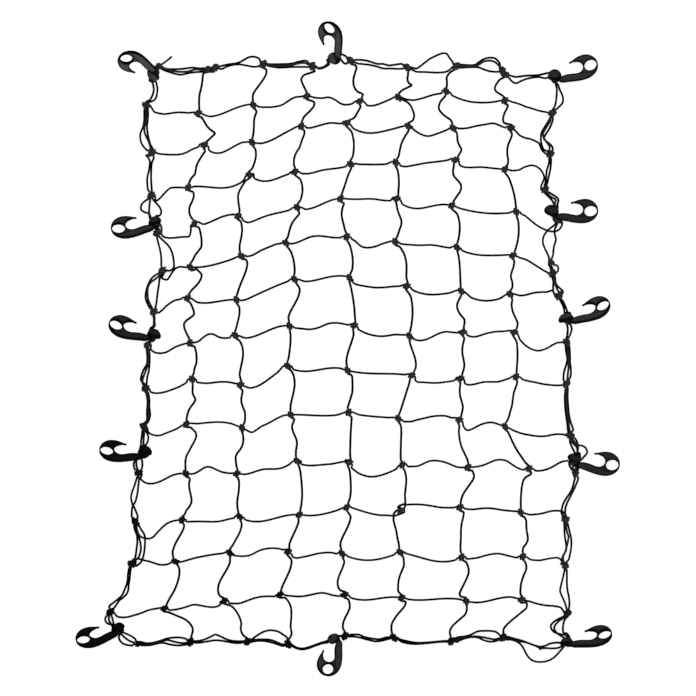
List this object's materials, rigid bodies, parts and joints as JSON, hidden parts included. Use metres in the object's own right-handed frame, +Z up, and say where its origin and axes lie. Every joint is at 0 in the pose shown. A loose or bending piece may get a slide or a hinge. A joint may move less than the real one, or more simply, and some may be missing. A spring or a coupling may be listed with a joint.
{
  "type": "cargo net",
  "caption": "Elastic cargo net of knotted cord laid out flat, with a doubled cord border and a moulded plastic hook lashed on at each corner and along each side.",
  "frame": {"origin": "middle of the bounding box, on the ground that the net lies on", "axes": "+X across the net to the right, +Y along the net to its top edge, +Z up from the ground"},
  "size_m": [0.8687, 1.0481, 0.0567],
  "materials": {
    "elastic_cord": "braided sheath over rubber, dull black with a faint sheen",
    "hook_plastic": "moulded, satin, very dark grey"
  },
  "bodies": {
    "root": {"border_inner_bottom": "elastic_cord", "border_inner_left": "elastic_cord", "border_inner_right": "elastic_cord", "border_inner_top": "elastic_cord", "border_outer_01": "elastic_cord", "border_outer_02": "elastic_cord", "border_outer_03": "elastic_cord", "border_outer_04": "elastic_cord", "border_outer_05": "elastic_cord", "border_outer_06": "elastic_cord", "border_outer_07": "elastic_cord", "border_outer_08": "elastic_cord", "border_outer_09": "elastic_cord", "border_outer_10": "elastic_cord", "border_outer_11": "elastic_cord", "border_outer_12": "elastic_cord", "column_cord_1": "elastic_cord", "column_cord_2": "elastic_cord", "column_cord_3": "elastic_cord", "column_cord_4": "elastic_cord", "column_cord_5": "elastic_cord", "column_cord_6": "elastic_cord", "column_cord_7": "elastic_cord", "hook_01": "hook_plastic", "hook_02": "hook_plastic", "hook_03": "hook_plastic", "hook_04": "hook_plastic", "hook_05": "hook_plastic", "hook_06": "hook_plastic", "hook_07": "hook_plastic", "hook_08": "hook_plastic", "hook_09": "hook_plastic", "hook_10": "hook_plastic", "hook_11": "hook_plastic", "hook_12": "hook_plastic", "lashing_01": "elastic_cord", "lashing_02": "elastic_cord", "lashing_03": "elastic_cord", "lashing_04": "elastic_cord", "lashing_05": "elastic_cord", "lashing_06": "elastic_cord", "lashing_07": "elastic_cord", "lashing_08": "elastic_cord", "lashing_09": "elastic_cord", "lashing_10": "elastic_cord", "lashing_11": "elastic_cord", "lashing_12": "elastic_cord", "row_cord_01": "elastic_cord", "row_cord_02": "elastic_cord", "row_cord_03": "elastic_cord", "row_cord_04": "elastic_cord", "row_cord_05": "elastic_cord", "row_cord_06": "elastic_cord", "row_cord_07": "elastic_cord", "row_cord_08": "elastic_cord", "row_cord_09": "elastic_cord", "row_cord_10": "elastic_cord", "row_cord_11": "elastic_cord", "row_cord_12": "elastic_cord", "row_cord_13": "elastic_cord"}
  },
  "joints": []
}
